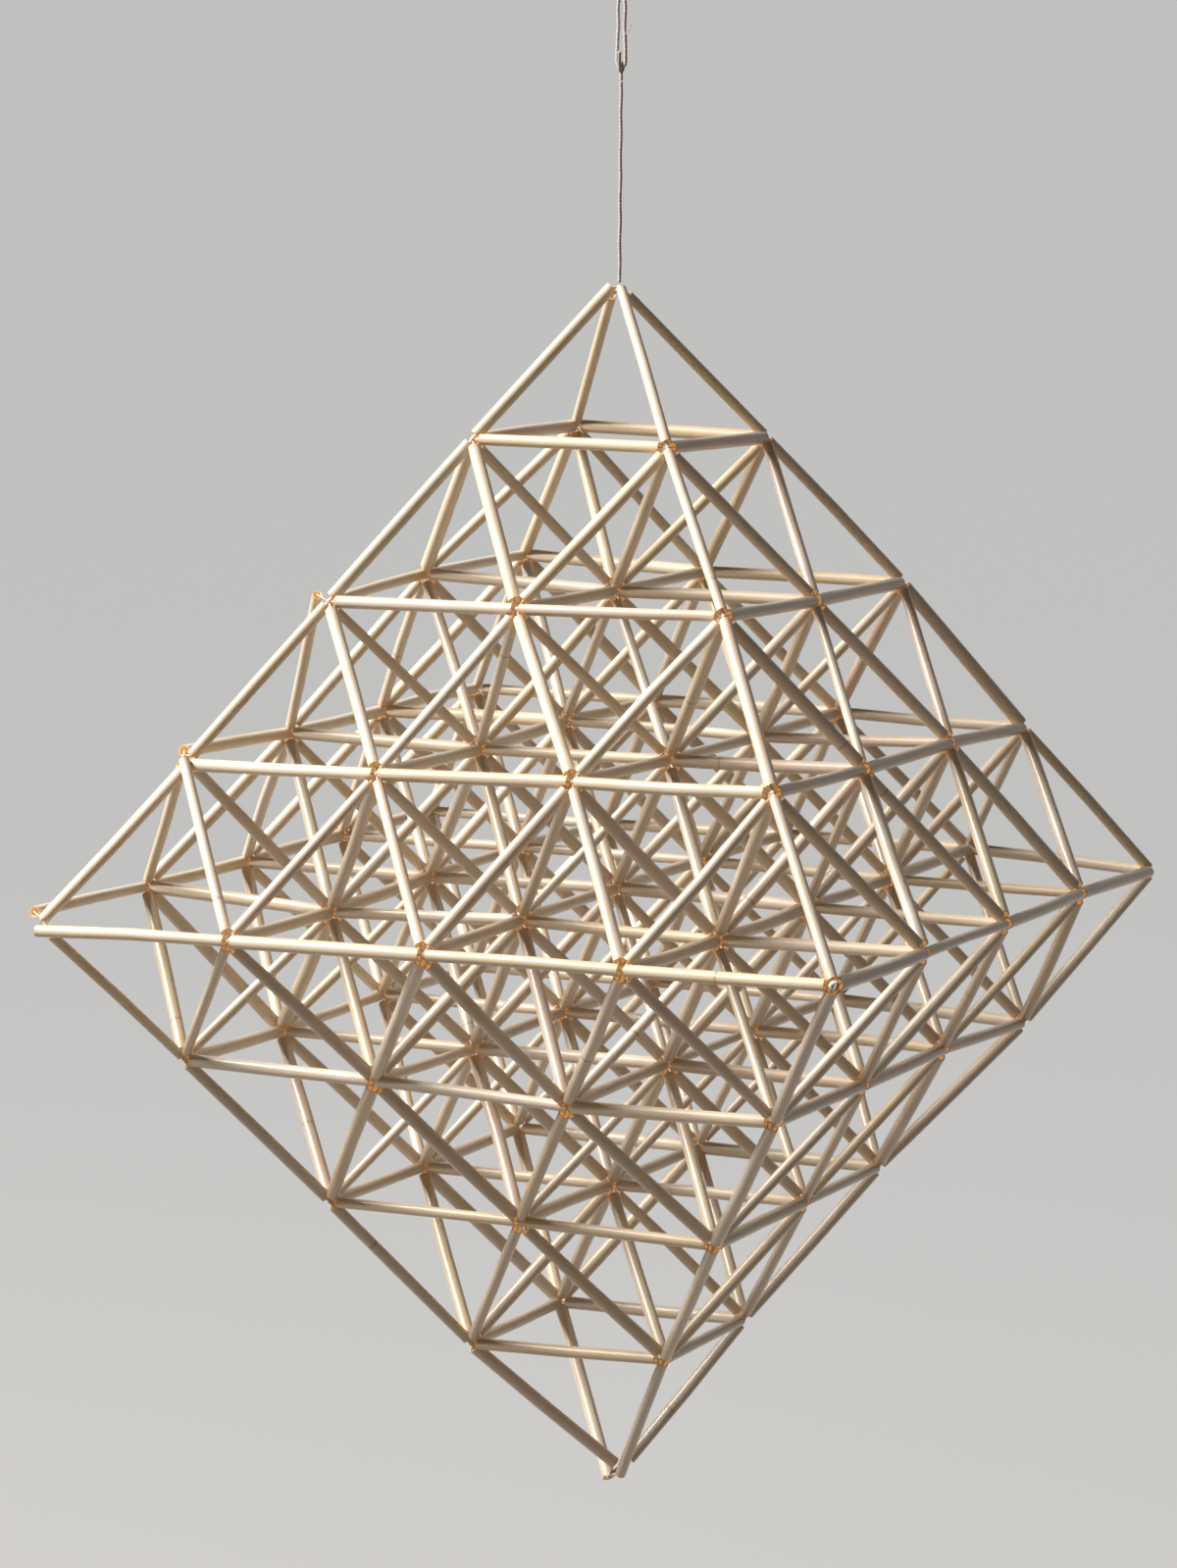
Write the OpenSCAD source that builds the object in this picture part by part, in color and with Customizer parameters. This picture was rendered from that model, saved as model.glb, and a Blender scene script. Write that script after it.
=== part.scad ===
// Straw himmeli: a large octahedron filled with smaller ones, hung on a thread.
// Joints lie in nine level grids, from the single top joint (level 0) over the
// widest grid (level 4) to the single bottom joint (level 8). Straws lie along
// the grids and slant from one level to the next, through eight storeys.
// Millimetres, +Z up. The origin is where the hook bears inside the top ring.

/* [Straws] */
// Distance between neighbouring joints along a level
pitch = 70; // [50:1:100]
// Height of one storey, from one level of joints to the next
storey_h = 50; // [36:1:70]
// Outside diameter of a straw
straw_d = 4.4; // [3.6:0.1:5.2]
// Thickness of a straw's wall
straw_wall = 0.4; // [0.2:0.05:0.6]
// Clearance between straws that meet at a joint, and between a straw and a thread that passes its end
end_gap = 0.15; // [0.05:0.05:0.6]

/* [Thread] */
// Diameter of the thread
thread_d = 1.2; // [0.8:0.1:1.4]
// How much wider a knot is than two threads side by side
knot_extra = 0.4; // [0:0.1:0.8]
// Running clearance between pieces of thread that swing or turn
swing_gap = 0.25; // [0.15:0.05:0.35]

/* [Hanging ring] */
// Inside diameter of the ring of thread that goes over the hook
ring_bore = 8; // [6:0.5:8]
// Diameter of the knot that closes the ring
loop_knot_d = 3.4; // [3:0.1:3.6]
// Length of the cut thread end beside the doubled thread
tail_l = 6; // [3:0.5:8]

/* [Hidden] */
$fn = 32;

// Levels and storeys
levels = 8;
half_levels = levels / 2;

// Kinds of slanted straw, by how many outer faces hold it
kinds = ["core", "face", "ridge"];

// Heights on the hanging axis
top_joint_z = -110;
bight_z = -38;
stub_end_z = -42;
ring_z = -ring_bore / 2;
loop_knot_top_z = -ring_bore - thread_d;
strand_top_z = -12.8;

// Length of a slanted straw's run between joints, and the angles at which runs meet
slant = sqrt(pitch * pitch / 2 + storey_h * storey_h);
slant_to_rim = acos(pitch / 2 / slant);
slant_to_slant = acos(storey_h * storey_h / slant / slant);
across_peak = acos((storey_h * storey_h - pitch * pitch / 2) / slant / slant);
across_equator = 180 - across_peak;
closest_angle = min(slant_to_rim, slant_to_slant, across_peak, across_equator);

// How far each kind of straw and thread stops short of its joint
slant_back = (straw_d + end_gap) / 2 / tan(closest_angle / 2);
cross_back = straw_d / 2 + end_gap;
past_thread = thread_d / 2 / sin(closest_angle) + end_gap;
rim_back = straw_d / 2 / tan(closest_angle) + past_thread;
ridge_back = max(rim_back, (straw_d + end_gap) / 2 / tan(across_equator / 2));
knot_d = 2 * thread_d + knot_extra;
thread_back = max(knot_d / 2, (thread_d + end_gap) / 2 / tan(closest_angle / 2));
in_knot = 0.6 * thread_d;
knot_core = 0.35;

// The eye of the lower thread, which runs round the bight of the doubled thread
eye_r = thread_d + swing_gap;
tail_tilt = 30;
tail_lean = 16;

// The doubled thread, from the knot down one side, round the bight and back up
bight_side = [[-1.5, 0, -36.5], [-1.3, 0, -37.25], [-0.75, 0, -37.8]];
strand_side = [[-0.9, 0, strand_top_z], [-0.9, 0, -14], [-1.1, 0, -16.5], [-1.3, 0, -19],
    [-1.2, 0, -22], [-1.1, 0, -25], [-1.3, 0, -28], [-1.4, 0, -31], [-1.5, 0, -34]];
down_side = concat(strand_side, bight_side);
doubled_route = concat(down_side, [[0, 0, bight_z]], mirrored(down_side));

// The single thread, from the eye down to the top joint
single_route = [[0, 0, -42.8], [0, 0, -44], [0.1, 0, -46.5], [0, 0, -49.5], [-0.1, 0, -53], [0, 0, -56.5],
    [0.1, 0, -60], [0, 0, -63.5], [-0.1, 0, -67], [0, 0, -70.5], [0.1, 0, -74],
    [0, 0, -77.5], [-0.1, 0, -81], [0, 0, -84.5], [0.1, 0, -88], [0, 0, -91.5],
    [-0.1, 0, -95], [0, 0, -98.5], [0.1, 0, -102], [0, 0, -105.5], [0, 0, -107], [0, 0, -108.2]];

straw_color = [0.90, 0.81, 0.60];
slant_color = [0.93, 0.85, 0.66];
thread_color = [0.80, 0.76, 0.74];

// Number of pitches along one side of a level's grid
function side(k) = min(k, levels - k);

// Place of joint i, j of level k
function joint(k, i, j) = [(i - side(k) / 2) * pitch, (j - side(k) / 2) * pitch, top_joint_z - k * storey_h];

// Smaller and larger of the two levels that bound a storey
function small_level(k) = k <= half_levels ? k - 1 : k;
function large_level(k) = k <= half_levels ? k : k - 1;

// 1 where a slanted straw lies in an outer face on this axis, otherwise 0
function outer(i, step, last) = (i == 0 && step == 0) || (i == last && step == 1) ? 1 : 0;

// Ends of a storey's slanted straws, of the wanted kind or of every kind
function slants(k, wanted) =
    let (last = side(small_level(k)))
    [for (i = [0:last], j = [0:last], di = [0, 1], dj = [0, 1])
        if (wanted == "every" || kinds[outer(i, di, last) + outer(j, dj, last)] == wanted)
            [joint(small_level(k), i, j), joint(large_level(k), i + di, j + dj)]];

// A route's points in reverse order, on the other side of the hanging axis
function mirrored(route) = [for (n = [len(route) - 1:-1:0]) [-route[n].x, route[n].y, route[n].z]];

// Puts its children at a, with their +Z towards b
module aim(a, b) {
    run = b - a;
    translate(a)
        rotate([0, acos(run.z / norm(run)), atan2(run.y, run.x)])
            children();
}

module straw(a, b, back_a, back_b) {
    aim(a, b)
        translate([0, 0, back_a])
            rotate_extrude()
                translate([straw_d / 2 - straw_wall, 0])
                    square([straw_wall, norm(b - a) - back_a - back_b]);
}

module thread_run(a, b, back_a, back_b) {
    aim(a, b)
        translate([0, 0, back_a])
            cylinder(h = norm(b - a) - back_a - back_b, d = thread_d);
}

// The four sides of a level, whose straws stop short of the ridges at its corners
module level_rim(k) {
    n = side(k);
    color(straw_color)
        for (i = [0:n - 1], edge = [0, n]) {
            back_a = i == 0 ? slant_back : rim_back;
            back_b = i == n - 1 ? slant_back : rim_back;
            straw(joint(k, i, edge), joint(k, i + 1, edge), back_a, back_b);
            straw(joint(k, edge, i), joint(k, edge, i + 1), back_a, back_b);
        }
}

// The straws that cross a level between its sides
module level_cross(k) {
    n = side(k);
    color(straw_color)
        for (i = [0:n - 1], row = [1:n - 1]) {
            straw(joint(k, i, row), joint(k, i + 1, row), cross_back, cross_back);
            straw(joint(k, row, i), joint(k, row, i + 1), cross_back, cross_back);
        }
}

// Ridge straws reach further into their joints than the others, but not at the two peaks
module storey_straws(k, kind) {
    back = kind == "ridge" ? ridge_back : slant_back;
    small_back = side(small_level(k)) == 0 ? slant_back : back;
    color(slant_color)
        for (ends = slants(k, kind))
            straw(ends[0], ends[1], small_back, back);
}

// The thread of a level's straws, knotted at each of its joints
module level_thread(k) {
    n = side(k);
    color(thread_color) {
        for (i = [0:n - 1], row = [0:n]) {
            thread_run(joint(k, i, row), joint(k, i + 1, row), in_knot, in_knot);
            thread_run(joint(k, row, i), joint(k, row, i + 1), in_knot, in_knot);
        }
        for (i = [0:n], j = [0:n])
            translate(joint(k, i, j))
                rotate(45)
                    sphere(d = knot_d);
    }
}

// The thread inside the slanted straws, from knot to knot
module storey_thread(k) {
    at_top = k == 1 ? thread_back + swing_gap : thread_back;
    color(thread_color)
        for (ends = slants(k, "every"))
            thread_run(ends[0], ends[1], at_top, thread_back);
}

module end_knot(k) {
    color(thread_color)
        translate(joint(k, 0, 0))
            sphere(d = knot_d);
}

module hanging_ring() {
    color(thread_color)
        translate([0, 0, ring_z])
            rotate([90, 0, 0])
                rotate_extrude()
                    translate([(ring_bore + thread_d) / 2, 0])
                        circle(d = thread_d);
}

// Turns of thread wound on the strands' ends, just below the ring
module loop_knot() {
    turns = 3;
    length = loop_knot_top_z - strand_top_z;
    winding_r = (loop_knot_d - thread_d) / 2;
    color(thread_color)
        translate([0, 0, strand_top_z])
            rotate_extrude() {
                square([winding_r + knot_core, length]);
                for (n = [0:turns - 1])
                    translate([winding_r, thread_d / 2 + n * (length - thread_d) / (turns - 1)])
                        circle(d = thread_d);
            }
}

// The eye round the bight, the stub below it and the cut end beside it
module thread_eye() {
    color(thread_color) {
        translate([0, 0, bight_z])
            rotate([0, 90, 0])
                rotate_extrude()
                    translate([eye_r, 0])
                        circle(d = thread_d);
        translate([0, 0, stub_end_z])
            cylinder(h = bight_z - eye_r - stub_end_z, d = thread_d);
        translate([0, 0, stub_end_z])
            sphere(d = thread_d);
        translate([0, -eye_r, bight_z])
            rotate([tail_tilt, tail_lean, 0])
                cylinder(h = tail_l, d = thread_d);
    }
}

// A thread swept along a route in the XZ plane
module cord(route) {
    sides = 8;
    last = len(route) - 1;
    rings = [for (n = [0:last])
        let (along = route[min(n + 1, last)] - route[max(n - 1, 0)],
            across = cross(along, [0, 1, 0]) / norm(along))
        for (s = [0:sides - 1])
            let (turn = (s + 0.5) * 360 / sides)
            route[n] + thread_d / 2 * (cos(turn) * across + sin(turn) * [0, 1, 0])];
    skin = [for (n = [0:last - 1], s = [0:sides - 1])
        let (a = n * sides + s, b = n * sides + (s + 1) % sides)
        each [[a, a + sides, b], [b, a + sides, b + sides]]];
    caps = [for (s = [1:sides - 2]) each [
        [0, s, s + 1],
        [last * sides, last * sides + s + 1, last * sides + s]]];
    polyhedron(rings, concat(skin, caps));
}

module doubled_thread() {
    color(thread_color)
        cord(doubled_route);
}

module hanging_thread() {
    color(thread_color)
        cord(single_route);
}

hanging_ring();
loop_knot();
doubled_thread();
thread_eye();
hanging_thread();
end_knot(0);  // top_knot
end_knot(levels);  // bottom_knot
for (k = [1:levels - 1]) {
    level_rim(k);
    level_thread(k);
}
for (k = [2:levels - 2])
    level_cross(k);
for (k = [1:levels]) {
    storey_straws(k, "ridge");
    storey_thread(k);
}
for (k = [2:levels - 1]) {
    storey_straws(k, "face");
    storey_straws(k, "core");
}
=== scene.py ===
"""Straw himmeli: a large octahedron of small ones, threaded from straws and hung on a thread."""

import math
import random

import bmesh
import bpy
import numpy as np
from mathutils import Matrix, Vector


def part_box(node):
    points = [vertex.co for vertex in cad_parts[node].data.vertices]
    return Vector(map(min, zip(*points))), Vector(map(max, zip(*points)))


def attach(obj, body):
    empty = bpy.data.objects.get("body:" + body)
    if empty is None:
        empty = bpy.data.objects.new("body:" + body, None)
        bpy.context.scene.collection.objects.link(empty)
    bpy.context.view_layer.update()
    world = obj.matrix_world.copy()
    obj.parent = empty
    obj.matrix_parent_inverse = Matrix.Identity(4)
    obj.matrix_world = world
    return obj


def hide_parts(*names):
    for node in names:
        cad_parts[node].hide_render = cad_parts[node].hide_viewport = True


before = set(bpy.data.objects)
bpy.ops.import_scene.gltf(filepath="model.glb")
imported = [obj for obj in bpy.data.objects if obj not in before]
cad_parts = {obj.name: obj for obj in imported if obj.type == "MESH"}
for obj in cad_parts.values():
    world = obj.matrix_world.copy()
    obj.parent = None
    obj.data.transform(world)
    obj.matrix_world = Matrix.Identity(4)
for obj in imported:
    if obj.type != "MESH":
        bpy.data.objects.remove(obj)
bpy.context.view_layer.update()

MM = 0.001
SEED = 41

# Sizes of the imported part, in metres
rim_low, rim_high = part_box("level_4_rim")
top_low, top_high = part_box("top_knot")
bottom_low, bottom_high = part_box("bottom_knot")
STOREYS = 8
STRAW_D = rim_high.z - rim_low.z
PITCH = (rim_high.x - rim_low.x - STRAW_D) / (STOREYS / 2)
TOP_JOINT_Z = (top_low.z + top_high.z) / 2
STOREY_H = (TOP_JOINT_Z - (bottom_low.z + bottom_high.z) / 2) / STOREYS
STRAW_WALL = 0.4 * MM
STRAW_L = 66 * MM
THREAD_D = 1.2 * MM
X_AXIS, Y_AXIS, Z_AXIS = Vector((1, 0, 0)), Vector((0, 1, 0)), Vector((0, 0, 1))

# ---------------------------------------------------------------- camera

# Where the photo was taken from, and its right and up
CAMERA_PLACE = (0.81282, -1.71724, -0.01308)
CAMERA_RIGHT = Vector((0.90138, 0.43297, 0.00770))
CAMERA_UP = Vector((-0.06590, 0.11956, 0.99064))

camera_data = bpy.data.cameras.new("photo_camera")
camera_data.lens = 132.56
camera_data.sensor_width = 36
camera_data.clip_start = 0.05
camera_data.clip_end = 50
camera = bpy.data.objects.new("photo_camera", camera_data)
bpy.context.scene.collection.objects.link(camera)
camera_back = CAMERA_RIGHT.cross(CAMERA_UP)
camera.matrix_world = Matrix.Translation(CAMERA_PLACE) @ Matrix(
    (CAMERA_RIGHT, CAMERA_UP, camera_back)
).transposed().to_4x4()
bpy.context.scene.camera = camera

# ---------------------------------------------------------------- materials


class Finish:
    """A procedural material, built node by node round one Principled shader."""

    def __init__(self, name, **shader):
        self.material = bpy.data.materials.new(name)
        self.material.use_nodes = True
        self.nodes = self.material.node_tree.nodes
        self.links = self.material.node_tree.links
        self.shader = self.nodes["Principled BSDF"]
        for socket, value in shader.items():
            self.shader.inputs[socket.replace("_", " ")].default_value = value

    def add(self, kind, **settings):
        node = self.nodes.new(kind)
        for key, value in settings.items():
            setattr(node, key, value)
        return node

    def attribute(self, name):
        return self.add("ShaderNodeAttribute", attribute_name=name)

    def stretched(self, source, scale):
        mapping = self.add("ShaderNodeMapping")
        mapping.inputs["Scale"].default_value = scale
        self.links.new(source, mapping.inputs["Vector"])
        return mapping.outputs["Vector"]

    def noise(self, source, scale=1.0, detail=2.0, roughness=0.5):
        noise = self.add("ShaderNodeTexNoise")
        noise.inputs["Scale"].default_value = scale
        noise.inputs["Detail"].default_value = detail
        noise.inputs["Roughness"].default_value = roughness
        self.links.new(source, noise.inputs["Vector"])
        return noise.outputs["Fac"]

    def ramp(self, source, *stops):
        ramp = self.add("ShaderNodeValToRGB")
        elements = ramp.color_ramp.elements
        while len(elements) < len(stops):
            elements.new(0.5)
        for element, (place, color) in zip(elements, stops):
            element.position = place
            element.color = (*color, 1)
        self.links.new(source, ramp.inputs["Fac"])
        return ramp.outputs["Color"]

    def feed(self, source, socket):
        """Link a socket, or set it to a number or a color."""
        if isinstance(source, bpy.types.NodeSocket):
            self.links.new(source, socket)
        elif isinstance(source, (int, float)):
            socket.default_value = source
        else:
            socket.default_value = (*source, 1)

    def mixed(self, a, b, factor, blend="MIX"):
        """Two colors mixed. A Mix node takes them at its sockets 6 and 7, and gives one at 2."""
        mix = self.add("ShaderNodeMix", data_type="RGBA", blend_type=blend)
        for source, socket in ((factor, mix.inputs[0]), (a, mix.inputs[6]), (b, mix.inputs[7])):
            self.feed(source, socket)
        return mix.outputs[2]

    def reckoned(self, operation, a, b):
        """Two numbers put together in one sum."""
        node = self.add("ShaderNodeMath", operation=operation)
        self.feed(a, node.inputs[0])
        self.feed(b, node.inputs[1])
        return node.outputs[0]

    def channels(self, source):
        split = self.add("ShaderNodeSeparateColor")
        self.links.new(source, split.inputs["Color"])
        return [split.outputs[name] for name in ("Red", "Green", "Blue")]

    def bump(self, height, distance, strength):
        bump = self.add("ShaderNodeBump")
        bump.inputs["Distance"].default_value = distance
        bump.inputs["Strength"].default_value = strength
        self.links.new(height, bump.inputs["Height"])
        self.links.new(bump.outputs["Normal"], self.shader.inputs["Normal"])

    def color(self, source):
        self.links.new(source, self.shader.inputs["Base Color"])


def gray(value):
    return (value, value, value)


WEATHERED_BROWN = (0.62, 0.44, 0.24)
JOINT_SHADE_AMBER = (0.80, 0.45, 0.20)
STEM_NODE_BROWN = (0.46, 0.32, 0.17)


def straw_skin():
    """Glossy outer skin: a tint for each straw, fine fibres along it, and painted shade that turns
    it darker amber towards its ends.
    """
    finish = Finish("straw_skin", Roughness=0.36, Coat_Weight=0.45, Coat_Roughness=0.25)
    tone = finish.attribute("tone").outputs
    grain = finish.attribute("grain").outputs["Vector"]
    hue, lightness, endwards = finish.channels(tone["Color"])
    tint = finish.ramp(
        hue,
        (0.00, (0.87, 0.70, 0.46)),
        (0.30, (0.90, 0.75, 0.56)),
        (0.55, (0.91, 0.78, 0.63)),
        (0.78, (0.83, 0.70, 0.52)),
        (1.00, (0.87, 0.67, 0.53)),
    )
    light = finish.ramp(lightness, (0, gray(0.82)), (1, gray(1.0)))
    color = finish.mixed(tint, light, 1.0, "MULTIPLY")
    fibres = finish.noise(finish.stretched(grain, (3.2, 3.2, 0.05)), detail=3.0, roughness=0.6)
    streaks = finish.ramp(fibres, (0.32, gray(0.86)), (0.62, gray(1.0)))
    color = finish.mixed(color, streaks, 1.0, "MULTIPLY")
    clouds = finish.noise(finish.stretched(grain, (0.22, 0.22, 0.06)))
    weathered = finish.ramp(clouds, (0.45, gray(0.0)), (0.75, gray(0.45)))
    color = finish.mixed(color, WEATHERED_BROWN, weathered)
    # Painted amber shade: the skin darkens towards both ends, cut faces too, as it does next to a
    # joint
    painted_joint_shade = finish.ramp(endwards, (0.93, gray(0.0)), (1.0, gray(0.45)))
    color = finish.mixed(color, JOINT_SHADE_AMBER, painted_joint_shade)
    # Alpha is 0.5 at the stem's own node, which shows as a ring just below that
    stem_node = finish.ramp(
        tone["Alpha"],
        (0.480, gray(0.0)),
        (0.492, gray(1.0)),
        (0.500, gray(0.0)),
        (0.520, gray(0.0)),
    )
    finish.color(finish.mixed(color, STEM_NODE_BROWN, stem_node))
    height = finish.mixed(fibres, stem_node, 0.5, "SUBTRACT")
    finish.bump(height, distance=0.06 * MM, strength=0.6)
    return finish.material


def straw_pith():
    """Inner wall: amber, matt, a little uneven. Its glow is light that comes through the wall."""
    finish = Finish(
        "straw_pith",
        Roughness=0.6,
        Emission_Color=(0.84, 0.58, 0.28, 1),
        Emission_Strength=0.16,
    )
    grain = finish.attribute("grain").outputs["Vector"]
    flecks = finish.noise(finish.stretched(grain, (2.0, 2.0, 0.5)), detail=3.0)
    finish.color(finish.ramp(flecks, (0.3, (0.92, 0.70, 0.44)), (0.7, (0.96, 0.79, 0.57))))
    finish.bump(flecks, distance=0.05 * MM, strength=0.5)
    return finish.material


def spun_thread(name, dark, pale):
    """Spun yarn: matt, with small knops and short fibres that catch the light."""
    finish = Finish(name, Roughness=0.85, Sheen_Weight=0.4, Sheen_Roughness=0.5)
    place = finish.add("ShaderNodeTexCoord").outputs["Object"]
    knops = finish.noise(place, scale=1400.0, detail=3.0, roughness=0.65)
    finish.color(finish.ramp(knops, (0.3, dark), (0.7, pale)))
    fibres = finish.noise(place, scale=6500.0, roughness=0.7)
    finish.bump(fibres, distance=0.08 * MM, strength=0.7)
    return finish.material


def studio_paper():
    """Pale paper, seen from its upper side alone. Its glow is for the eye, not for the straws."""
    finish = Finish("studio_paper", Roughness=0.95, Emission_Color=(0.97, 0.98, 0.98, 1))
    place = finish.add("ShaderNodeTexCoord").outputs["Object"]
    tooth = finish.noise(place, scale=3.0)
    paper = finish.ramp(tooth, (0.3, (0.200, 0.170, 0.140)), (0.7, (0.215, 0.183, 0.152)))
    rays = finish.add("ShaderNodeLightPath").outputs
    paper_in_view = (0.120, 0.105, 0.090)
    glow_in_view = 0.50
    finish.color(finish.mixed(paper, paper_in_view, rays["Is Camera Ray"]))
    seen = finish.reckoned("MAXIMUM", rays["Is Camera Ray"], rays["Is Glossy Ray"])
    seen = finish.reckoned("MAXIMUM", seen, rays["Is Transmission Ray"])
    glow = finish.reckoned("MULTIPLY", seen, glow_in_view)
    finish.links.new(glow, finish.shader.inputs["Emission Strength"])
    below = finish.add("ShaderNodeNewGeometry").outputs["Backfacing"]
    clear = finish.add("ShaderNodeBsdfTransparent").outputs["BSDF"]
    one_sided = finish.add("ShaderNodeMixShader")
    finish.links.new(below, one_sided.inputs[0])
    finish.links.new(finish.shader.outputs["BSDF"], one_sided.inputs[1])
    finish.links.new(clear, one_sided.inputs[2])
    finish.links.new(
        one_sided.outputs["Shader"], finish.nodes["Material Output"].inputs["Surface"]
    )
    return finish.material


SKIN = straw_skin()
PITH = straw_pith()
# The inner thread's warm tan is painted amber shade from the joints, laid over the thread's own
# pale tone
INNER_THREAD = spun_thread("inner_thread", dark=(0.66, 0.52, 0.38), pale=(0.86, 0.76, 0.64))
HANGING_THREAD = spun_thread("hanging_thread", dark=(0.42, 0.36, 0.34), pale=(0.66, 0.59, 0.57))

# ---------------------------------------------------------------- mesh helpers


def piece_from(name, points, faces, material):
    mesh = bpy.data.meshes.new(name)
    mesh.from_pydata([tuple(p) for p in points], [], faces)
    mesh.materials.append(material)
    for face in mesh.polygons:
        face.use_smooth = True
    mesh.validate()
    obj = bpy.data.objects.new(name, mesh)
    bpy.context.scene.collection.objects.link(obj)
    return obj


def joined(name, parts):
    """Several objects as one piece, its place in its mesh."""
    bpy.ops.object.select_all(action="DESELECT")
    for part in parts:
        part.select_set(True)
    bpy.context.view_layer.objects.active = parts[0]
    if len(parts) > 1:
        bpy.ops.object.join()
    parts[0].name = name
    parts[0].data.name = name
    return parts[0]


def placed(piece, body, slot, *nodes):
    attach(piece, body)
    if nodes:
        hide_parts(*nodes)
    return piece


# The step between points along a thread
ROUTE_STEP = 0.35 * MM


def smooth_route(corners, spacing=ROUTE_STEP):
    """Evenly spaced points on one smooth curve through the corners."""
    pts = [Vector(c) for c in corners]
    ends = [pts[0] * 2 - pts[1], *pts, pts[-1] * 2 - pts[-2]]
    fine_steps = 12
    fine = []
    for a, b, c, d in zip(ends, ends[1:], ends[2:], ends[3:]):
        squared = 2 * a - 5 * b + 4 * c - d
        cubed = 3 * b - a - 3 * c + d
        for step in range(fine_steps):
            t = step / fine_steps
            fine.append(0.5 * (2 * b + (c - a) * t + squared * t**2 + cubed * t**3))
    fine.append(pts[-1])
    lengths = np.cumsum([0] + [(q - p).length for p, q in zip(fine, fine[1:])])
    count = max(2, round(lengths[-1] / spacing) + 1)
    at = np.linspace(0, lengths[-1], count)
    grid = np.array([tuple(p) for p in fine])
    even = np.stack([np.interp(at, lengths, grid[:, axis]) for axis in range(3)], 1)
    return [Vector(p) for p in even]


def route_length(route):
    return sum((q - p).length for p, q in zip(route, route[1:]))


def tube_faces(rings, sides, closed=False):
    """Faces over rings of points that follow each other, with flat ends unless closed."""
    faces = []
    for n in range(rings if closed else rings - 1):
        here, after = n * sides, (n + 1) % rings * sides
        for s in range(sides):
            beside = (s + 1) % sides
            faces.append((here + s, here + beside, after + beside, after + s))
    if not closed:
        faces.append(tuple(reversed(range(sides))))
        faces.append(tuple(range((rings - 1) * sides, rings * sides)))
    return faces


# The thread's plies, how far along it one takes to go round, how deep the grooves between them
# are, as a share of its radius, and how uneven it is
PLIES = 3
PLY_LAY = 3.4 * MM
PLY_GROOVE = 0.20
UNEVENNESS = 0.04


def laid_tube(route, diameter, across, sides=15, closed=False):
    """Points and faces of a thread of twisted plies. The route never runs in line with across."""
    swells = random.Random(len(route))
    last = len(route) - 1
    total = route_length(route + route[:1] * closed)
    turns = max(1, round(total / PLY_LAY)) if closed else total / PLY_LAY
    points, run = [], 0.0
    for n, here in enumerate(route):
        before = route[n - 1] if n or closed else here
        after = route[(n + 1) % len(route)] if n < last or closed else here
        along = (after - before).normalized()
        side = (across - along * across.dot(along)).normalized()
        other = along.cross(side)
        twist = 2 * math.pi * turns * run / total
        swell = 1 + swells.uniform(-UNEVENNESS, UNEVENNESS)
        for s in range(sides):
            turn = 2 * math.pi * s / sides
            lobe = abs(math.cos(PLIES * (turn - twist) / 2))
            radius = diameter / 2 * swell * (1 - PLY_GROOVE + PLY_GROOVE * lobe)
            points.append(here + (side * math.cos(turn) + other * math.sin(turn)) * radius)
        run += (route[(n + 1) % len(route)] - here).length
    return points, tube_faces(len(route), sides, closed)


def merged(*shapes):
    """Points and faces of several shapes in one list."""
    points, faces = [], []
    for shape_points, shape_faces in shapes:
        faces += [tuple(i + len(points) for i in face) for face in shape_faces]
        points += list(shape_points)
    return points, faces


def mm(*corners):
    return [Vector(c) * MM for c in corners]


# ---------------------------------------------------------------- hanging thread

# In millimetres: the foot of the doubled thread's bend, the radius of the eye that goes round it,
# and the end of the stub under the eye
BIGHT_Z = -38
EYE_R = 1.45
STUB_END_Z = -42

strand_side = [
    (-0.9, 0, -12.8), (-0.9, 0, -14), (-1.1, 0, -16.5), (-1.3, 0, -19), (-1.2, 0, -22),
    (-1.1, 0, -25), (-1.3, 0, -28), (-1.4, 0, -31), (-1.5, 0, -34), (-1.5, 0, -36.5),
    (-1.3, 0, -37.25), (-0.75, 0, -37.8),
]
other_side = [(-x, y, z) for x, y, z in reversed(strand_side)]
doubled_route = smooth_route(mm(*strand_side, (0, 0, BIGHT_Z), *other_side))

single_corners = [
    (0, 0, -108.2), (0, 0, -107), (0, 0, -105.5), (0.1, 0, -102), (0, 0, -98.5),
    (-0.1, 0, -95), (0, 0, -91.5), (0.1, 0, -88), (0, 0, -84.5), (-0.1, 0, -81),
    (0, 0, -77.5), (0.1, 0, -74), (0, 0, -70.5), (-0.1, 0, -67), (0, 0, -63.5),
    (0.1, 0, -60), (0, 0, -56.5), (-0.1, 0, -53), (0, 0, -49.5), (0.1, 0, -46.5),
    (0, 0, -44), (0, 0, -42.8),
]
single_route = smooth_route(mm(*single_corners))


def thread_piece(name, *shapes):
    return piece_from(name, *merged(*shapes), HANGING_THREAD)


doubled = thread_piece("doubled_strands", laid_tube(doubled_route, THREAD_D, Y_AXIS))
placed(doubled, "hanger", "hanging_thread", "doubled_thread")

single = thread_piece("single_hanging_thread", laid_tube(single_route, THREAD_D, Y_AXIS))
placed(single, "thread", "hanging_thread", "hanging_thread")


def hook_ring():
    """The ring of thread that goes over the hook."""
    low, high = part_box("hanging_ring")
    centre = (low + high) / 2
    radius = (high.x - low.x - THREAD_D) / 2
    count = 84
    route = []
    for n in range(count):
        turn = 2 * math.pi * n / count
        route.append(centre + Vector((math.sin(turn), 0, -math.cos(turn))) * radius)
    ring = thread_piece("hook_ring", laid_tube(route, THREAD_D, Y_AXIS, closed=True))
    return placed(ring, "hanger", "hanging_thread", "hanging_ring")


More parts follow.
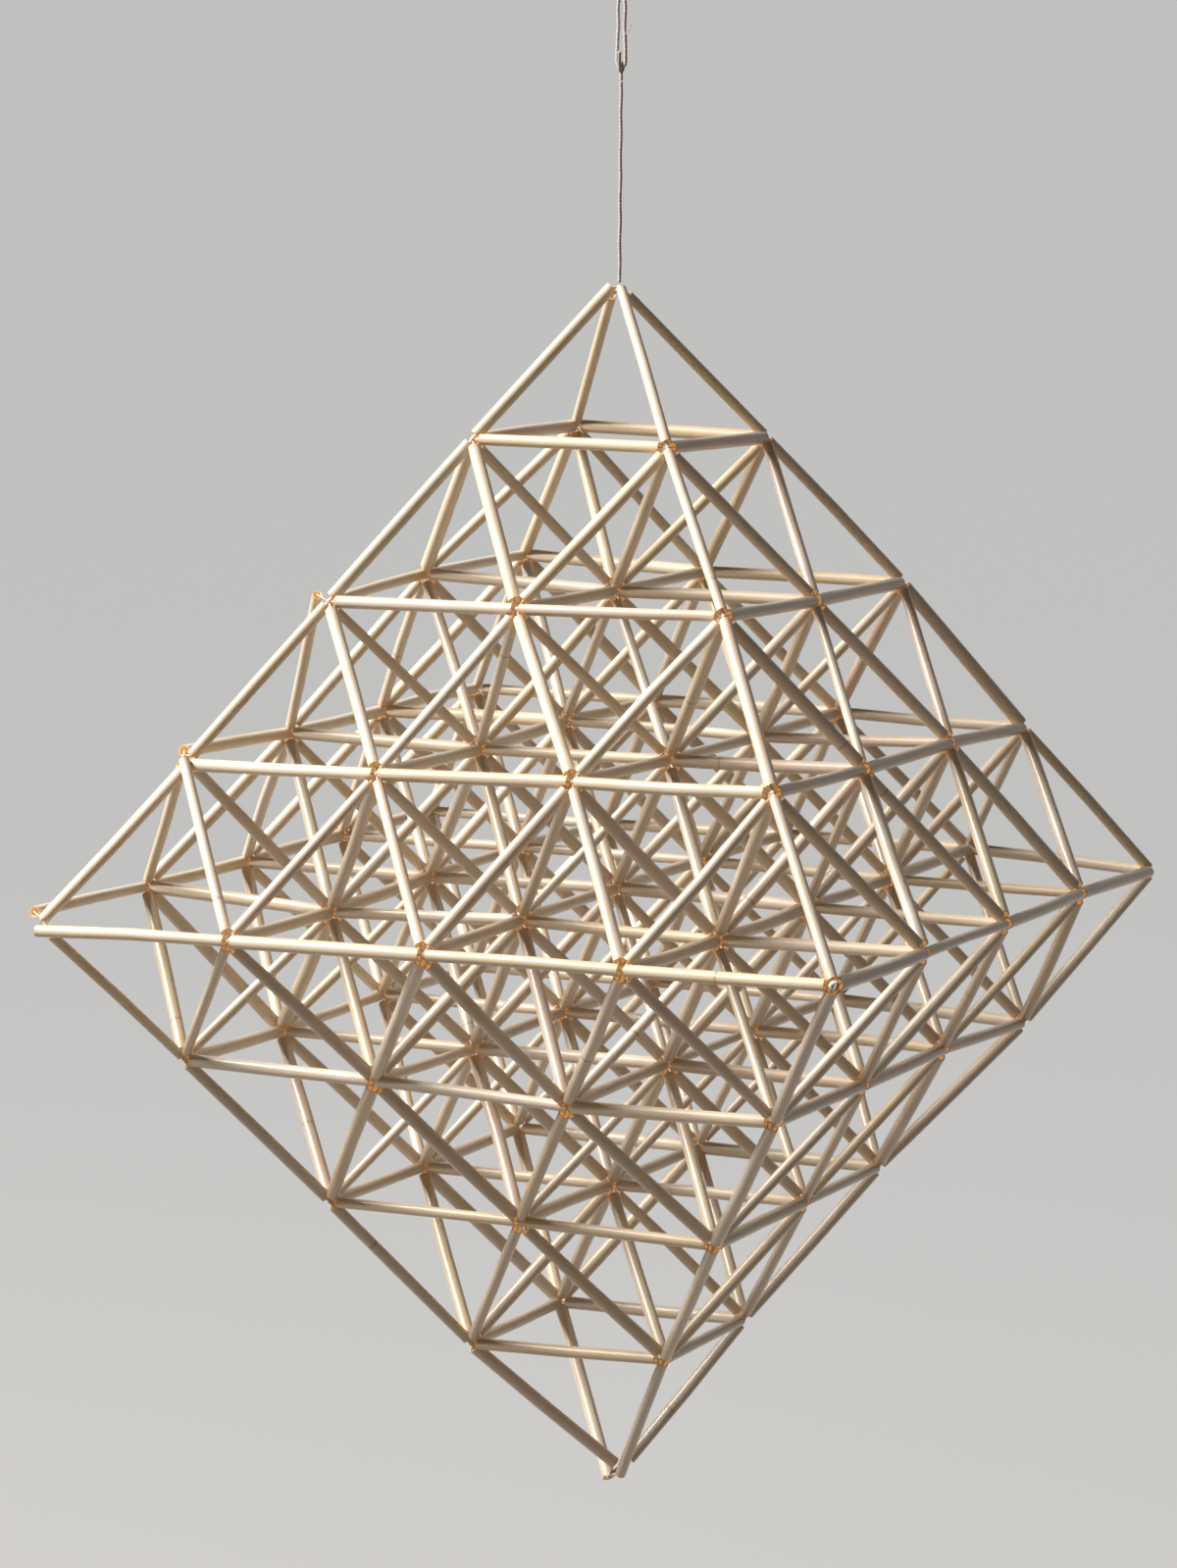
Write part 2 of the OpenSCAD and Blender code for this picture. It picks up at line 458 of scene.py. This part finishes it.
def ring_knot():
    """Three turns of thread round the two strands, under the ring."""
    low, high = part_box("loop_knot")
    radius = (high.x - low.x - THREAD_D) / 2
    bottom, top = low.z + THREAD_D / 2, high.z - THREAD_D / 2
    turns = 3
    count = 25 * turns
    winding = []
    for n in range(count):
        share = n / (count - 1)
        turn = 2 * math.pi * turns * share
        height = bottom + (top - bottom) * share
        winding.append(Vector((math.cos(turn) * radius, math.sin(turn) * radius, height)))
    shapes = [laid_tube(winding, THREAD_D, Z_AXIS, sides=12)]
    strand_x, steps = 0.5 * MM, 6
    heights = [low.z + (high.z - low.z) * n / steps for n in range(steps + 1)]
    for x in (-strand_x, strand_x):
        strand = [Vector((x, 0, height)) for height in heights]
        shapes.append(laid_tube(strand, THREAD_D, Y_AXIS, sides=12))
    knot = thread_piece("ring_knot", *shapes)
    return placed(knot, "hanger", "hanging_thread", "loop_knot")


def eye_on_bight():
    """The eye that the single thread makes round the bight, its stub and its square-cut end."""
    centre = Vector((0, 0, BIGHT_Z * MM))
    count = 28
    circle = []
    for n in range(count):
        turn = 2 * math.pi * n / count
        circle.append(centre + Vector((0, math.sin(turn), -math.cos(turn))) * EYE_R * MM)
    stub = smooth_route(mm((0, 0, BIGHT_Z - EYE_R), (0, 0, -40.5), (0, 0, STUB_END_Z - 0.4)))
    tail_foot = Vector((0, -EYE_R, BIGHT_Z)) * MM
    lean = Matrix.Rotation(math.radians(16), 3, "Y") @ Matrix.Rotation(math.radians(30), 3, "X")
    tail_along = lean @ Z_AXIS
    tail = [tail_foot + tail_along * (ROUTE_STEP * n) for n in range(18)]
    eye = thread_piece(
        "eye_on_bight",
        laid_tube(circle, THREAD_D, X_AXIS, closed=True),
        laid_tube(stub, THREAD_D, Y_AXIS),
        laid_tube(tail, THREAD_D, Y_AXIS),
    )
    return placed(eye, "eye", "hanging_thread", "thread_eye")


def loose_fibre():
    """A short fibre that curls away from the doubled thread."""
    fibre_d = 0.3 * MM
    corners = mm(
        (1.5, -0.5, -27.6), (2.1, -0.9, -27.0), (2.9, -1.0, -26.6),
        (3.2, -0.8, -25.6), (3.6, -0.6, -24.6), (3.3, -0.7, -24.0),
    )
    across = Vector((0.3, 1, 0.2))
    curl = laid_tube(smooth_route(corners, fibre_d), fibre_d, across, sides=6)
    return placed(thread_piece("loose_fibre", curl), "hanger", "hanging_thread")


ring = hook_ring()
knot_under_ring = ring_knot()
eye = eye_on_bight()
loose_fibre()

# ---------------------------------------------------------------- joints

# How far joints were tied from the even lattice: towards the photo's right and up, in millimetres
TIED_AWAY = {
    (1, 0, 0): (-0.9, 1.2), (1, 1, 0): (-0.7, 1.2), (1, 1, 1): (2.6, 0.0), (1, 0, 1): (2.2, 1.2),
    (2, 0, 0): (-0.3, -0.7), (2, 1, 0): (-2.0, 0.4), (2, 2, 0): (0.4, 1.9), (2, 2, 1): (1.3, 0.3),
    (2, 2, 2): (2.8, 0.2), (2, 0, 1): (-1.2, 2.3), (2, 1, 1): (-0.7, -0.1), (2, 0, 2): (1.2, 2.8),
    (3, 0, 0): (0.4, 0.3), (3, 1, 0): (0.5, -0.9), (3, 2, 0): (-0.2, 1.1), (3, 3, 0): (-1.4, 2.4),
    (3, 3, 1): (-0.8, 1.4), (3, 3, 2): (0.1, 2.0), (3, 3, 3): (-1.0, -0.8), (3, 0, 1): (0.7, 0.2),
    (3, 1, 1): (1.8, -1.0), (3, 2, 1): (0.6, 0.0), (4, 0, 0): (2.5, -0.7), (4, 1, 0): (1.0, -2.5),
    (4, 2, 0): (0.4, -1.3), (4, 3, 0): (-0.7, -0.5), (4, 4, 0): (-0.3, 0.5), (4, 4, 1): (0.3, 0.1),
    (4, 4, 2): (-0.2, -0.7), (4, 4, 3): (-1.3, -0.5), (4, 4, 4): (-1.8, -2.3),
    (4, 0, 1): (1.0, 0.5), (4, 1, 1): (0.6, -2.9), (4, 3, 1): (-0.5, -1.3), (5, 0, 0): (0.3, 0.7),
    (5, 1, 0): (0.3, 0.0), (5, 2, 0): (-1.1, -2.1), (5, 3, 0): (0.3, -0.7), (5, 3, 1): (0.4, -0.7),
    (5, 3, 2): (-0.7, -0.4), (5, 3, 3): (0.5, -2.7), (5, 0, 1): (-1.9, -1.0),
    (5, 1, 1): (0.4, -1.0), (5, 2, 1): (0.8, 0.0), (6, 0, 0): (0.5, 0.4), (6, 1, 0): (0.2, 0.7),
    (6, 2, 0): (-0.4, 0.0), (6, 2, 1): (0.3, 1.0), (6, 2, 2): (-2.6, 0.0), (6, 0, 1): (-1.2, -0.6),
    (6, 1, 1): (-0.4, 0.0), (7, 0, 0): (0.0, -0.8), (7, 1, 0): (1.1, 1.4), (7, 1, 1): (-1.5, 0.4),
    (7, 0, 1): (-0.9, -1.0),
}
# How far any other joint may lie from its even place, in millimetres along each axis
JOINT_SCATTER = 0.8
rng = random.Random(SEED)


def grid_side(level):
    """Number of pitches along one side of a level's grid."""
    return min(level, STOREYS - level)


def even_joint(level, i, j):
    half = grid_side(level) / 2
    return Vector(((i - half) * PITCH, (j - half) * PITCH, TOP_JOINT_Z - level * STOREY_H))


def photo_shift(right, up, away=0.0):
    """A step in millimetres towards the photo's right and up, and level away from the camera."""
    across = Vector((CAMERA_RIGHT.x, CAMERA_RIGHT.y, 0))
    inwards = Vector((-CAMERA_RIGHT.y, CAMERA_RIGHT.x, 0))
    return (across * right + inwards * away + Z_AXIS * up) * MM


joint_at = {}
for level in range(STOREYS + 1):
    for i in range(grid_side(level) + 1):
        for j in range(grid_side(level) + 1):
            key = (level, i, j)
            away = Vector([rng.uniform(-JOINT_SCATTER, JOINT_SCATTER) for _ in range(3)]) * MM
            if key in TIED_AWAY:
                away = photo_shift(*TIED_AWAY[key])
            elif level in (0, STOREYS):
                away = Vector()
            joint_at[key] = even_joint(*key) + away


def level_straws(level):
    """Kind and joints of every straw that lies in a level."""
    n = grid_side(level)
    for i in range(n):
        for row in range(n + 1):
            kind = "rim" if row in (0, n) else "cross"
            yield kind, (level, i, row), (level, i + 1, row)
            yield kind, (level, row, i), (level, row, i + 1)


def storey_straws(storey):
    """Kind and joints of every straw that slants through a storey."""
    small, large = (storey - 1, storey) if storey <= STOREYS / 2 else (storey, storey - 1)
    last = grid_side(small)
    for i in range(last + 1):
        for j in range(last + 1):
            for di in (0, 1):
                for dj in (0, 1):
                    # In how many of the two directions the straw leans out over the edge
                    outside = ((i, di) in ((0, 0), (last, 1))) + ((j, dj) in ((0, 0), (last, 1)))
                    kind = ("core", "faces", "ridges")[outside]
                    yield kind, (small, i, j), (large, i + di, j + dj)


# In millimetres: how far a straw stops short of its joint, how much that varies, and how far
# a slanted straw's end sits above or below the joint
SET_BACK = {"rim": 1.2, "cross": 2.4, "ridges": 1.7, "faces": 3.0, "core": 3.5}
SET_BACK_AT_CORNER = 2.7
SET_BACK_AT_PEAK = 3.5
CUT_SCATTER = (-0.25, 0.35)
LIFT = {"ridges": 0.2, "faces": 0.5, "core": 0.6}
# Straw ends that crowd past their knot, as (joint, other joint):
# millimetres towards the photo's right, up and, where it matters, away from the camera
CROWDED_ENDS = {
    ((0, 0, 0), (1, 0, 0)): (-0.3, 2.6), ((0, 0, 0), (1, 1, 0)): (-0.2, 2.4),
    ((0, 0, 0), (1, 1, 1)): (0.6, 0.0), ((0, 0, 0), (1, 0, 1)): (-1.9, -0.2),
    ((2, 0, 0), (3, 0, 1)): (-3.2, 4.0),
    ((3, 0, 0), (2, 0, 0)): (1.5, -0.8, -0.3), ((3, 0, 0), (3, 0, 1)): (-1.5, 1.3, 0.3),
    ((3, 0, 0), (3, 1, 0)): (-0.1, -2.5), ((3, 0, 0), (4, 1, 0)): (-0.5, 1.3, -1.2),
    ((3, 0, 0), (4, 0, 0)): (0.8, -3.1, 1.2), ((3, 0, 0), (4, 0, 1)): (-0.3, -1.2, 1.5),
    ((3, 0, 0), (4, 1, 1)): (1.0, -1.6, 1.0),
    ((4, 0, 0), (4, 1, 0)): (-3.9, -3.6), ((4, 0, 0), (4, 0, 1)): (-3.9, 1.9),
    ((4, 0, 0), (3, 0, 0)): (-0.7, -1.2), ((4, 0, 0), (5, 0, 0)): (2.0, -4.2),
    ((8, 0, 0), (7, 0, 0)): (4.0, 2.0), ((8, 0, 0), (7, 1, 0)): (3.0, -1.2),
    ((8, 0, 0), (7, 1, 1)): (4.5, 3.0), ((8, 0, 0), (7, 0, 1)): (0.6, -3.5),
}
# Where a stem's own node shows, as a share of the straw's length
STEM_NODES = {((4, 3, 0), (4, 4, 0)): 0.47, ((3, 0, 0), (4, 1, 0)): 0.83}
STEM_NODE_CHANCE = 0.1
STEM_NODE_SPAN = (0.08, 0.92)
NO_NODE = 2.0


def straw_end(kind, key, other):
    """Where the straw from one joint to another is cut, near the first."""
    level, i, j = key
    n = grid_side(level)
    at = joint_at[key].copy()
    along = (joint_at[other] - at).normalized()
    if n == 0:
        back = SET_BACK_AT_PEAK
    elif kind == "rim" and i in (0, n) and j in (0, n):
        back = SET_BACK_AT_CORNER
    else:
        back = SET_BACK[kind]
    if (key, other) in CROWDED_ENDS:
        at += photo_shift(*CROWDED_ENDS[key, other])
    elif level != other[0]:
        at.z += LIFT[kind] * MM * (1 if other[0] < level else -1)
    return at + along * (back + rng.uniform(*CUT_SCATTER)) * MM


# ---------------------------------------------------------------- straws


def straw_pattern():
    """One straw, standing on the origin: bored through, with a ring of points halfway."""
    bpy.ops.object.select_all(action="DESELECT")
    bpy.ops.mesh.primitive_cylinder_add(
        vertices=12, radius=STRAW_D / 2, depth=STRAW_L, location=(0, 0, STRAW_L / 2)
    )
    straw = bpy.context.object
    straw.name = "straw_pattern"
    bpy.ops.object.transform_apply(location=True)
    bpy.ops.object.mode_set(mode="EDIT")
    bpy.ops.mesh.select_mode(type="FACE")
    bpy.ops.mesh.select_all(action="DESELECT")
    shape = bmesh.from_edit_mesh(straw.data)
    for face in shape.faces:
        face.select_set(abs(face.normal.z) > 0.9)
    bmesh.update_edit_mesh(straw.data)
    bpy.ops.mesh.inset(thickness=STRAW_WALL)
    bpy.ops.mesh.bridge_edge_loops()
    bpy.ops.mesh.select_all(action="SELECT")
    bpy.ops.mesh.bisect(plane_co=(0, 0, STRAW_L / 2), plane_no=Z_AXIS)
    bpy.ops.mesh.select_all(action="SELECT")
    bpy.ops.mesh.normals_make_consistent(inside=False)
    bpy.ops.object.mode_set(mode="OBJECT")
    straw.data.materials.append(SKIN)
    straw.data.materials.append(PITH)
    for face in straw.data.polygons:
        outer = math.hypot(face.center.x, face.center.y) > STRAW_D / 2 - STRAW_WALL * 0.9
        cut_end = abs(face.normal.z) > 0.5
        face.material_index = 0 if outer or cut_end else 1
    bpy.ops.object.shade_smooth_by_angle(angle=math.radians(40))
    return straw


pattern = straw_pattern()
pattern_points = np.zeros(len(pattern.data.vertices) * 3)
pattern.data.vertices.foreach_get("co", pattern_points)
pattern_points = pattern_points.reshape(-1, 3)

# How straws differ. Girths are the least, the most and the usual, as shares of the packed
# girth; the bow's usual spread and its limit are in millimetres
GIRTHS = (0.72, 1.06, 0.97)
TAPER = 0.05
END_NARROWING = 0.03
OVAL = 0.05
BOW_SPREAD = 0.28
BOW_LIMIT = 0.7
GRAIN_SPAN = 5000


def cut_straw(start, end, stem_node):
    """A copy of the pattern between two points, with a girth, taper, bow and tint of its own."""
    straw = pattern.copy()
    straw.data = pattern.data.copy()
    bpy.context.scene.collection.objects.link(straw)
    length = (end - start).length
    share = pattern_points[:, 2] / STRAW_L
    centred = 2 * share - 1
    usual = rng.triangular(*GIRTHS)
    taper = rng.uniform(-TAPER, TAPER)
    girth = usual * (1 + taper * centred - END_NARROWING * np.abs(centred))
    oval = rng.uniform(0, OVAL)
    across = pattern_points[:, :2] * girth[:, None] * np.array([1 + oval, 1 - oval])
    roll = rng.uniform(0, 2 * math.pi)
    turn = np.array([[math.cos(roll), math.sin(roll)], [-math.sin(roll), math.cos(roll)]])
    across = across @ turn
    bow = min(BOW_LIMIT, abs(rng.gauss(0, BOW_SPREAD))) * MM
    bow_way = rng.uniform(0, 2 * math.pi)
    across += np.outer(1 - centred**2, [math.cos(bow_way), math.sin(bow_way)]) * bow
    local = np.column_stack([across, share * length])
    aim = np.array((end - start).to_track_quat("Z", "Y").to_matrix())
    world = local @ aim.T + np.array(start)
    mesh = straw.data
    mesh.vertices.foreach_set("co", world.ravel())
    grain = mesh.attributes.new("grain", "FLOAT_VECTOR", "POINT")
    shifted = pattern_points / MM + np.array([0, 0, rng.uniform(0, GRAIN_SPAN)])
    grain.data.foreach_set("vector", shifted.ravel())
    tone = mesh.attributes.new("tone", "FLOAT_COLOR", "POINT")
    hue, lightness = rng.random(), rng.random()
    from_node = 0.5 + share - stem_node
    count = len(share)
    colors = np.column_stack(
        [np.full(count, hue), np.full(count, lightness), np.abs(centred), from_node]
    )
    tone.data.foreach_set("color", colors.ravel())
    mesh.update()
    return straw


groups = {}
for level in range(1, STOREYS):
    for kind, a, b in level_straws(level):
        groups.setdefault(f"level_{level}_{kind}", []).append((kind, a, b))
for storey in range(1, STOREYS + 1):
    for kind, a, b in storey_straws(storey):
        groups.setdefault(f"storey_{storey}_{kind}", []).append((kind, a, b))

end_at = {}
for node, straws in groups.items():
    copies = []
    for kind, a, b in straws:
        end_at[a, b] = straw_end(kind, a, b)
        end_at[b, a] = straw_end(kind, b, a)
        by_chance = NO_NODE
        if rng.random() < STEM_NODE_CHANCE:
            by_chance = rng.uniform(*STEM_NODE_SPAN)
        copies.append(cut_straw(end_at[a, b], end_at[b, a], STEM_NODES.get((a, b), by_chance)))
    placed(joined(node + "_straws", copies), "octahedron", "straw", node)

bpy.data.objects.remove(pattern)

# ---------------------------------------------------------------- inner thread


def knot_pattern():
    """A small knot: three turns of thread, each tilted another way."""
    turns = []
    for tilt in ((0.2, 0.3, 0), (1.3, 0.4, 0.6), (0.5, 1.4, 1.2)):
        bpy.ops.object.select_all(action="DESELECT")
        bpy.ops.mesh.primitive_torus_add(
            major_segments=8,
            minor_segments=5,
            major_radius=0.5 * MM,
            minor_radius=0.38 * MM,
            rotation=tilt,
        )
        bpy.ops.object.transform_apply(rotation=True)
        bpy.ops.object.shade_smooth()
        turns.append(bpy.context.object)
    knot = joined("knot_pattern", turns)
    knot.data.materials.clear()
    knot.data.materials.append(INNER_THREAD)
    return knot


knot_shape = knot_pattern()
# Sizes of knots, as shares of the pattern: the usual ones and those that differ
USUAL_KNOTS = (0.85, 1.05)
KNOT_SIZES = {(0, 0, 0): 1.3, (4, 4, 0): 2.1, (8, 0, 0): 1.3}


def tied_knot(place, size):
    """A copy of the knot at a joint, turned at random."""
    knot = knot_shape.copy()
    knot.data = knot_shape.data.copy()
    bpy.context.scene.collection.objects.link(knot)
    tilt = Matrix.Rotation(rng.uniform(0, math.pi), 4, "X")
    turn = Matrix.Rotation(rng.uniform(0, math.pi), 4, "Z")
    knot.data.transform(Matrix.Translation(place) @ (tilt @ turn) @ Matrix.Scale(size, 4))
    return knot


def plain_tube(route, diameter):
    """Points and faces of a thin thread, most of which lies inside a straw."""
    sides = 6
    straight = (route[-1] - route[0]).normalized()
    across = straight.orthogonal().normalized()
    other = straight.cross(across)
    points = []
    for here in route:
        for s in range(sides):
            turn = 2 * math.pi * s / sides
            points.append(here + (across * math.cos(turn) + other * math.sin(turn)) * diameter / 2)
    return points, tube_faces(len(route), sides)


# The share of its width that the thread shows where straws leave it little room, and how many
# millimetres inside a straw it keeps to the straw's line
PRESSED_THREAD = 0.45
STRAIGHT_RUN = 5


def inner_run(kind, a, b):
    """The thread from joint a through one straw to joint b."""
    start, end = end_at[a, b], end_at[b, a]
    inwards = (end - start).normalized() * STRAIGHT_RUN * MM
    route = [joint_at[a], start, start + inwards, end - inwards, end, joint_at[b]]
    return plain_tube(route, THREAD_D * (1.0 if kind == "ridges" else PRESSED_THREAD))


for level in range(1, STOREYS):
    runs = [inner_run(*straw) for straw in level_straws(level)]
    parts = [piece_from("runs", *merged(*runs), INNER_THREAD)]
    for key, place in joint_at.items():
        if key[0] == level:
            size = rng.uniform(*USUAL_KNOTS)
            parts.append(tied_knot(place, KNOT_SIZES.get(key, size)))
    node = f"level_{level}_thread"
    placed(joined(node + "_knotted", parts), "octahedron", "inner_thread", node)

for storey in range(1, STOREYS + 1):
    runs = [inner_run(*straw) for straw in storey_straws(storey)]
    node = f"storey_{storey}_thread"
    piece = piece_from(node + "_runs", *merged(*runs), INNER_THREAD)
    placed(piece, "octahedron", "inner_thread", node)

for node, body, key in (
    ("top_knot", "swivel_knot", (0, 0, 0)),
    ("bottom_knot", "octahedron", (STOREYS, 0, 0)),
):
    knot = tied_knot(joint_at[key], KNOT_SIZES[key])
    placed(joined(node + "_tied", [knot]), body, "inner_thread", node)

bpy.data.objects.remove(knot_shape)

# ---------------------------------------------------------------- studio


def studio_bowl():
    """A round floor that rises in one curve to a plain wall."""
    floor_z, flat_r, bend_r, wall_top = -0.85, 3.4, 1.6, 4.5
    bend_steps, steps_round = 16, 64
    profile = [(flat_r / 2, floor_z)]
    for n in range(bend_steps + 1):
        turn = math.pi / 2 * n / bend_steps
        rise = bend_r * (1 - math.cos(turn))
        profile.append((flat_r + bend_r * math.sin(turn), floor_z + rise))
    profile.append((flat_r + bend_r, wall_top))
    points = [Vector((0, 0, floor_z))]
    for radius, height in profile:
        for s in range(steps_round):
            turn = 2 * math.pi * s / steps_round
            points.append(Vector((radius * math.cos(turn), radius * math.sin(turn), height)))
    faces = [(0, 1 + s, 1 + (s + 1) % steps_round) for s in range(steps_round)]
    for n in range(len(profile) - 1):
        for s in range(steps_round):
            a, b = 1 + n * steps_round + s, 1 + n * steps_round + (s + 1) % steps_round
            faces.append((a, a + steps_round, b + steps_round, b))
    return piece_from("studio_bowl", points, faces, studio_paper())


studio_bowl()

# One soft light, high on the photo's left and a little to its front
WINDOW_PLACE = Vector((-1.57, -1.10, 1.47))
ORNAMENT_MIDDLE = Vector((0, 0, -0.31))
window_data = bpy.data.lights.new("window_light", "AREA")
window_data.shape = "DISK"
window_data.size = 1.0
window_data.energy = 148
window_data.color = (1.0, 0.985, 0.97)
window = bpy.data.objects.new("window_light", window_data)
window.location = WINDOW_PLACE
window.rotation_euler = (ORNAMENT_MIDDLE - WINDOW_PLACE).to_track_quat("-Z", "Y").to_euler()
bpy.context.scene.collection.objects.link(window)

world = bpy.data.worlds.new("studio_air")
bpy.context.scene.world = world
world.use_nodes = True
air = world.node_tree.nodes["Background"].inputs
air["Color"].default_value = (1.0, 0.80, 0.62, 1)
air["Strength"].default_value = 0.12

bpy.context.scene.view_settings.view_transform = "Standard"
